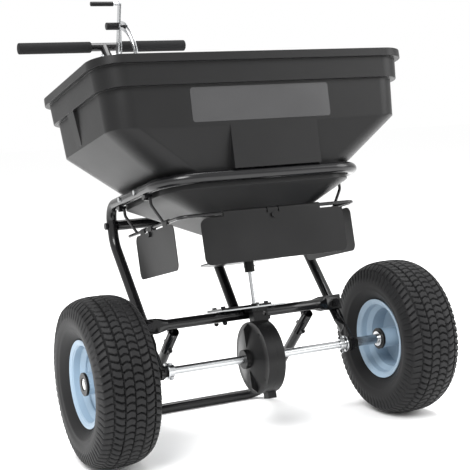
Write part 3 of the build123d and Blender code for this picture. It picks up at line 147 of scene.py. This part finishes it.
def soften(obj, width):
    """Welds the imported facets, rounds the hard edges and shades the rest smooth."""
    for face in obj.data.polygons:
        face.use_smooth = True
    weld = obj.modifiers.new("weld", "WELD")
    weld.merge_threshold = 1e-5
    bevel = obj.modifiers.new("bevel", "BEVEL")
    bevel.width = width
    bevel.segments = 2
    bevel.limit_method = "ANGLE"
    bevel.angle_limit = radians(38)
    bevel.use_clamp_overlap = True
    normals = obj.modifiers.new("normals", "WEIGHTED_NORMAL")
    normals.keep_sharp = False


BEVEL = {"hopper": 0.003, "gearbox_left": 0.001, "gearbox_right": 0.001, "impeller": 0.0006}
for name, node in nodes.items():
    dress(node, SLOT_OF[name])
    soften(node, BEVEL.get(name, 0.0004))


# ---------------------------------------------------------------- tyres
def smooth(a, b, x):
    t = min(1.0, max(0.0, (x - a) / (b - a)))
    return t * t * (3 - 2 * t)


def pulse(x, low, high, soft):
    """1 between low and high, falling to 0 over soft."""
    return smooth(low - soft, low, x) * (1 - smooth(high, high + soft, x))


def tread_depth(w, turn):
    """How far the turf tread is cut away at a width w and a turn counted in pitches."""
    a = abs(w) * 1000
    lanes = max(1 - smooth(0.8, 1.8, a), pulse(a, 19.6, 20.8, 0.9), pulse(a, 38.6, 39.6, 0.9))
    row = 0 if a < 21 else 1 if a < 39 else 2
    shift = (0.0, 0.5, 0.1)[row] + (0.5 if w > 0 else 0.0)
    wave = 0.22 * sin(a / 5.2)
    phase = (turn + shift + wave) % 1.0
    cross = pulse(phase, *CROSS_GROOVE)
    return GROOVE * max(lanes, cross)


def tyre_profile():
    """(width, radius, is it tread) round the tyre's section, from one bead to the other."""
    side = [(0.0412, 0.076), (0.0412, 0.0865), (0.0455, 0.0905), (0.051, 0.097), (0.0556, 0.1045),
            (0.0572, 0.1075), (0.0569, 0.1095), (0.0587, 0.1145), (0.0597, 0.1215), (0.0594, 0.1285),
            (0.0586, 0.1345), (0.0576, 0.1405), (0.0566, 0.1455)]
    crown = []
    for i in range(CROWN_STEPS + 1):
        w = TREAD_HALF * (1 - 2 * i / CROWN_STEPS)
        crown.append((w, WHEEL_R - CROWN_DROP * (abs(w) / TREAD_HALF) ** 3.2, True))
    left = [(w, r, False) for w, r in side]
    inner = [(-0.032, 0.076, False), (-0.034, 0.09, False), (-0.052, 0.122, False), (-0.038, 0.148, False),
             (0.0, 0.154, False), (0.038, 0.148, False), (0.052, 0.122, False), (0.034, 0.09, False),
             (0.032, 0.076, False)]
    return left + crown + [(-w, r, False) for w, r in reversed(side)] + inner


def tyre_mesh():
    profile = tyre_profile()
    steps = PITCHES * STEPS_PER_PITCH
    count = len(profile)
    verts = []
    for i in range(steps):
        angle = 2 * pi * i / steps
        for w, r, tread in profile:
            if tread:
                r -= tread_depth(w, i / STEPS_PER_PITCH)
            elif 0.134 < r < 0.15 and abs(w) > 0.056:
                notch = SHOULDER_NOTCH * pulse((i / STEPS_PER_PITCH) % 1.0, *SHOULDER_GROOVE)
                w -= notch * (1 if w > 0 else -1)
            verts.append((w, -r * sin(angle), r * cos(angle)))
    faces = []
    for i in range(steps):
        a, b = i * count, (i + 1) % steps * count
        for k in range(count):
            n = (k + 1) % count
            faces.append((a + k, a + n, b + n, b + k))
    mesh = bpy.data.meshes.new("turf_tyre")
    mesh.from_pydata(verts, [], faces)
    mesh.validate()
    mesh.update()
    for face in mesh.polygons:
        face.use_smooth = True
    mesh.set_sharp_from_angle(angle=radians(42))
    return mesh


def add(name, mesh, finish):
    obj = bpy.data.objects.new(name, mesh)
    bpy.context.scene.collection.objects.link(obj)
    dress(obj, finish)
    return obj


shared_tyre = tyre_mesh()
for side, name, body in ((-1, "tyre_left", "axle"), (1, "tyre_right", "idle_wheel")):
    tyre = add("treaded_" + name, shared_tyre.copy(), "tyre_rubber")
    tyre.data.transform(Matrix.Translation(AXLE + Vector((side * WHEEL_X, 0, 0))))
    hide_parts(name)
    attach(tyre, body)


# ---------------------------------------------------------------- hopper label patch
def label_patch():
    """Blank glossy label with rounded corners, laid on the front of the middle tier."""
    r = LABEL_CORNER
    x0, x1 = LABEL_X[0] + r, LABEL_X[1] - r
    z0, z1 = LABEL_Z[0] + r, LABEL_Z[1] - r
    outline = []
    for cx, cz, first in ((x1, z1, 0), (x0, z1, 90), (x0, z0, 180), (x1, z0, 270)):
        for k in range(7):
            a = radians(first + 15 * k)
            outline.append((cx + r * cos(a), cz + r * sin(a)))
    verts = []
    for lift in (0.0001, 0.0001 + LABEL_THICK):
        for x, z in outline:
            y = TIER_FRONT_Y - TIER_SLOPE * (z - TIER_LOW_Z) - lift
            verts.append(from_machine(x, y, z))
    n = len(outline)
    faces = [tuple(range(n, 2 * n)), tuple(reversed(range(n)))]
    for k in range(n):
        m = (k + 1) % n
        faces.append((k, m, n + m, n + k))
    mesh = bpy.data.meshes.new("label_patch")
    mesh.from_pydata(verts, [], faces)
    mesh.update()
    return mesh


patch = add("label_patch", label_patch(), "label")
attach(patch, "frame")


# ---------------------------------------------------------------- studio
def studio_floor():
    mesh = bpy.data.meshes.new("floor")
    h = FLOOR_HALF
    mesh.from_pydata([(-h, -h, 0), (h, -h, 0), (h, h, 0), (-h, h, 0)], [], [(0, 1, 2, 3)])
    floor = bpy.data.objects.new("studio_floor", mesh)
    bpy.context.scene.collection.objects.link(floor)
    mesh.materials.append(material("floor", (0.99, 0.99, 0.99), 1.0, bump=0.0, mottle=0.0, spec=0.0))
    return floor


def soft_light(name, place, target, size, watts):
    lamp = bpy.data.lights.new(name, "AREA")
    lamp.shape = "DISK"
    lamp.size = size
    lamp.energy = watts
    obj = bpy.data.objects.new(name, lamp)
    obj.location = place
    obj.rotation_euler = (Vector(target) - Vector(place)).to_track_quat("-Z", "Y").to_euler()
    bpy.context.scene.collection.objects.link(obj)
    return obj


floor = studio_floor()
lights = [soft_light("key", (-2.2, -2.6, 3.2), (0, 0, 0.5), 2.2, 170),
          soft_light("fill", (2.8, -2.2, 1.8), (0, 0, 0.5), 2.4, 70),
          soft_light("top", (0.3, 0.4, 3.6), (0, 0, 0.5), 2.6, 150)]

world = bpy.data.worlds.new("studio")
world.use_nodes = True
world.node_tree.nodes["Background"].inputs["Color"].default_value = (1, 1, 1, 1)
world.node_tree.nodes["Background"].inputs["Strength"].default_value = 1.0
bpy.context.scene.world = world
bpy.context.scene.view_settings.view_transform = "Standard"

camera = bpy.data.cameras.new("camera")
camera.sensor_width = 36
camera.lens = 86.08
eye = bpy.data.objects.new("camera", camera)
eye.location = (-1.01888, -2.35099, 0.65401)
eye.rotation_euler = (radians(84.0423), radians(2.9781), radians(-26.1629))
bpy.context.scene.collection.objects.link(eye)
bpy.context.scene.camera = eye
